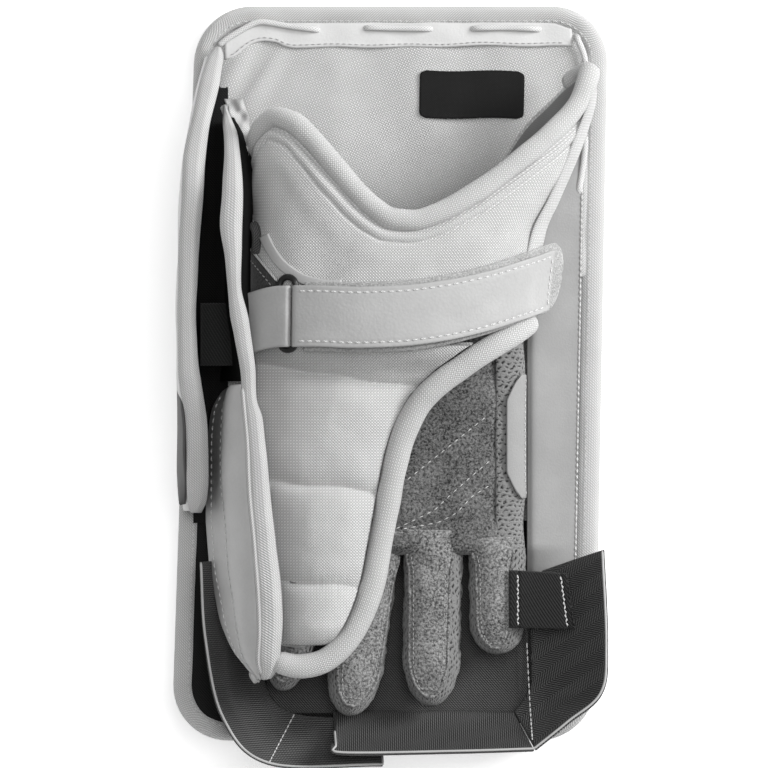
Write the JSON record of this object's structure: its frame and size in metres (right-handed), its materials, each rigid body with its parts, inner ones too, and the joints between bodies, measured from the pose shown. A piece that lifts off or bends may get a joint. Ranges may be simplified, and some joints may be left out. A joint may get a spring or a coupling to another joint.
{
  "type": "ice hockey goalie blocker",
  "caption": "Padded hockey blocker glove: flat board, padded cuff with hook-and-loop wrist strap, thumb guard, suede palm, finger stalls and finger tray.",
  "frame": {"origin": "centre of the board's strike face, which the blocker lies on", "axes": "+Z from the strike face towards the palm, +Y towards the cuff, +X towards the little-finger side"},
  "size_m": [0.1825, 0.3196, 0.09],
  "materials": {
    "white_twill": "woven nylon, white",
    "herringbone": "herringbone binding, white",
    "white_leather": "smooth synthetic leather, white",
    "strap_leather": "pebbled synthetic leather, off-white",
    "grey_leather": "smooth synthetic leather, light grey",
    "black_twill": "ballistic nylon, black",
    "black_lining": "brushed lining, black",
    "grey_patch": "smooth synthetic leather, dark grey",
    "grey_lining": "smooth knit lining, grey",
    "suede": "synthetic suede, dark grey",
    "finger_suede": "synthetic suede, grey",
    "knit_mesh": "open knit mesh, grey",
    "felt": "felt, dark grey",
    "elastic": "ribbed elastic, black",
    "loop_pile": "loop pile, off-white",
    "hook_pile": "moulded hooks, dark",
    "lace": "braided lace, white",
    "piping": "piping, white",
    "label": "woven patch, black",
    "ring_plastic": "moulded ring, black",
    "foam": "closed-cell foam, grey",
    "stiffener": "polyethylene sheet"
  },
  "bodies": {
    "root": {"face_cover": "white_leather", "stiffener_sheet": "stiffener", "board_foam": "foam", "back_liner": "white_twill", "edge_band": "herringbone", "lace_tape": "white_leather", "top_lace": "lace", "side_lace": "lace", "size_label": "label", "side_pad_foam": "foam", "side_leather_panel": "grey_leather", "hand_pad": "foam", "back_mesh": "knit_mesh", "palm_suede": "suede", "side_gusset": "knit_mesh", "trim_tab": "white_leather", "cuff_shell": "white_twill", "cuff_foam": "foam", "cuff_lining": "grey_lining", "cuff_roll": "white_twill", "cuff_side_strip": "white_twill", "cuff_skirt": "white_twill", "skirt_roll": "white_twill", "strap_tab": "strap_leather", "strap_anchor": "elastic", "loop_strap": "loop_pile", "felt_patch": "felt", "side_panel_foam": "foam", "side_panel_cover": "white_leather", "side_panel_lining": "black_lining", "side_panel_patch": "grey_patch", "side_panel_band": "herringbone", "inner_wall_foam": "foam", "inner_wall_cover": "white_leather", "inner_wall_lining": "black_lining", "inner_wall_band": "herringbone", "tray_floor": "black_twill", "tray_right_wall": "black_twill", "tray_front_wall": "black_twill", "tray_left_wall": "black_twill", "tray_piping": "piping", "finger_elastic": "elastic"},
    "thumb_guard": {"thumb_plate_foam": "foam", "thumb_plate_cover": "white_leather", "thumb_band": "herringbone", "thumb_quilt": "white_twill", "thumb_roll": "white_twill", "thumb_stall": "finger_suede"},
    "strap_ring": {"strap_ring": "ring_plastic"},
    "strap": {"strap_leather": "strap_leather", "hook_patch": "hook_pile"},
    "index_finger": {"index_stall": "knit_mesh", "index_face": "finger_suede"},
    "middle_finger": {"middle_stall": "knit_mesh", "middle_face": "finger_suede"},
    "ring_finger": {"ring_stall": "knit_mesh", "ring_face": "finger_suede"},
    "little_finger": {"little_stall": "knit_mesh", "little_face": "finger_suede"}
  },
  "joints": [
    {"name": "thumb_guard_flex", "type": "hinge", "parent": "root", "child": "thumb_guard", "pos_m": [-0.025, 0, 0.0795], "axis": [-1, 0, 0], "range_deg": [0, 6], "stiffness_Nm_per_rad": 0.3},
    {"name": "ring_swing", "type": "hinge", "parent": "root", "child": "strap_ring", "pos_m": [-0.04552, 0.0295, 0.07507], "axis": [0, -1, 0], "range_deg": [0, 25]},
    {"name": "strap_peel", "type": "hinge", "parent": "strap_ring", "child": "strap", "pos_m": [-0.03888, 0.0295, 0.07878], "axis": [0, -1, 0], "range_deg": [0, 100]},
    {"name": "index_curl", "type": "hinge", "parent": "root", "child": "index_finger", "pos_m": [-0.0305, -0.0686, 0.0424], "axis": [-1, 0, 0], "range_deg": [0, 5]},
    {"name": "middle_curl", "type": "hinge", "parent": "root", "child": "middle_finger", "pos_m": [-0.008, -0.0686, 0.048], "axis": [-1, 0, 0], "range_deg": [0, 8]},
    {"name": "ring_curl", "type": "hinge", "parent": "root", "child": "ring_finger", "pos_m": [0.0182, -0.0686, 0.0486], "axis": [-1, 0, 0], "range_deg": [0, 70]},
    {"name": "little_curl", "type": "hinge", "parent": "root", "child": "little_finger", "pos_m": [0.0446, -0.0686, 0.0474], "axis": [-1, 0, 0], "range_deg": [0, 35], "deforming": ["finger_elastic"]}
  ]
}
